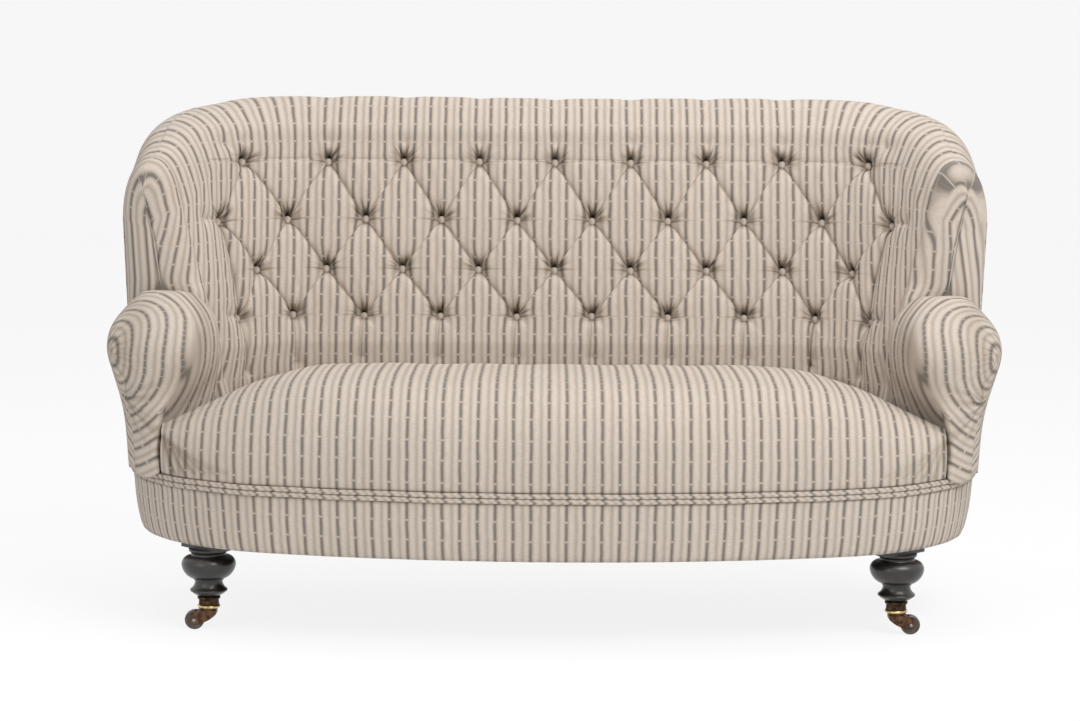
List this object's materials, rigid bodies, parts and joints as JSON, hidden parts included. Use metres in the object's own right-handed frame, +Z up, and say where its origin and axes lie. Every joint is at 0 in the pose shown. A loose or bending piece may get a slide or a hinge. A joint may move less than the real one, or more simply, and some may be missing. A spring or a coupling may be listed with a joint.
{
  "type": "button back sofa",
  "caption": "Wrap-round button back sofa with a sprung seat, scroll arms, bowed front and turned legs on swivel castors",
  "frame": {"origin": "middle of the footprint of the whole sofa, on the floor", "axes": "X runs along the sofa, towards the right as seen from the front; -Y faces the front; Z is up"},
  "size_m": [1.6534, 0.7988, 0.9631],
  "materials": {
    "striped_fabric": "woven",
    "ebonised_wood": "polished",
    "frame_wood": "raw",
    "brass": "patinated",
    "bronze": "aged",
    "steel": "drawn",
    "castor_wheel": "glazed",
    "jute": "woven",
    "hessian": "woven",
    "twine": "twisted",
    "bottom_cloth": "woven"
  },
  "bodies": {
    "sofa": {"arm_pad_left": "striped_fabric", "arm_pad_right": "striped_fabric", "arm_rail_left": "frame_wood", "arm_rail_right": "frame_wood", "arm_stumps": "frame_wood", "back_hessian": "hessian", "back_post_left": "frame_wood", "back_post_right": "frame_wood", "back_rail": "frame_wood", "back_uprights": "frame_wood", "border": "striped_fabric", "bottom_cloth": "bottom_cloth", "castor_cup_front_left": "brass", "castor_cup_front_right": "brass", "castor_cup_rear_left": "brass", "castor_cup_rear_right": "brass", "corner_blocks": "frame_wood", "corner_rail_left": "frame_wood", "corner_rail_right": "frame_wood", "crest_rail": "frame_wood", "cross_bearers": "frame_wood", "front_leg_left": "ebonised_wood", "front_leg_right": "ebonised_wood", "front_rail": "frame_wood", "inside_back": "striped_fabric", "leg_blocks": "ebonised_wood", "lower_back_rail": "frame_wood", "lower_welt_cord": "striped_fabric", "outside_arm_left": "striped_fabric", "outside_arm_right": "striped_fabric", "outside_back": "striped_fabric", "rear_leg_left": "ebonised_wood", "rear_leg_right": "ebonised_wood", "seat_hessian": "hessian", "seat_pad": "striped_fabric", "seat_springs": "steel", "seat_webbing": "jute", "side_rail_left": "frame_wood", "side_rail_right": "frame_wood", "tufting_buttons": "striped_fabric", "tufting_twine": "twine", "upper_welt_cord": "striped_fabric", "wing_pad_left": "striped_fabric", "wing_pad_right": "striped_fabric", "wing_post_left": "frame_wood", "wing_post_right": "frame_wood", "wing_rail_left": "frame_wood", "wing_rail_right": "frame_wood"},
    "swivel_front_right": {"castor_horn_front_right": "bronze", "castor_axle_front_right": "steel"},
    "wheel_front_right": {"castor_wheel_front_right": "castor_wheel"},
    "swivel_front_left": {"castor_horn_front_left": "bronze", "castor_axle_front_left": "steel"},
    "wheel_front_left": {"castor_wheel_front_left": "castor_wheel"},
    "swivel_rear_right": {"castor_horn_rear_right": "bronze", "castor_axle_rear_right": "steel"},
    "wheel_rear_right": {"castor_wheel_rear_right": "castor_wheel"},
    "swivel_rear_left": {"castor_horn_rear_left": "bronze", "castor_axle_rear_left": "steel"},
    "wheel_rear_left": {"castor_wheel_rear_left": "castor_wheel"}
  },
  "joints": [
    {"name": "swivel_front_right", "type": "hinge", "parent": "sofa", "child": "swivel_front_right", "pos_m": [0.62692, -0.20756, 0.038], "axis": [0, 0, 1], "continuous": true},
    {"name": "roll_front_right", "type": "hinge", "parent": "swivel_front_right", "child": "wheel_front_right", "pos_m": [0.65292, -0.20756, 0.0175], "axis": [0, 1, 0], "continuous": true},
    {"name": "swivel_front_left", "type": "hinge", "parent": "sofa", "child": "swivel_front_left", "pos_m": [-0.62692, -0.20756, 0.038], "axis": [0, 0, 1], "continuous": true},
    {"name": "roll_front_left", "type": "hinge", "parent": "swivel_front_left", "child": "wheel_front_left", "pos_m": [-0.65292, -0.20756, 0.0175], "axis": [0, 1, 0], "continuous": true},
    {"name": "swivel_rear_right", "type": "hinge", "parent": "sofa", "child": "swivel_rear_right", "pos_m": [0.676, 0.17799, 0.038], "axis": [0, 0, 1], "continuous": true},
    {"name": "roll_rear_right", "type": "hinge", "parent": "swivel_rear_right", "child": "wheel_rear_right", "pos_m": [0.676, 0.20399, 0.0175], "axis": [1, 0, 0], "continuous": true},
    {"name": "swivel_rear_left", "type": "hinge", "parent": "sofa", "child": "swivel_rear_left", "pos_m": [-0.676, 0.17799, 0.038], "axis": [0, 0, 1], "continuous": true},
    {"name": "roll_rear_left", "type": "hinge", "parent": "swivel_rear_left", "child": "wheel_rear_left", "pos_m": [-0.676, 0.20399, 0.0175], "axis": [1, 0, 0], "continuous": true}
  ]
}
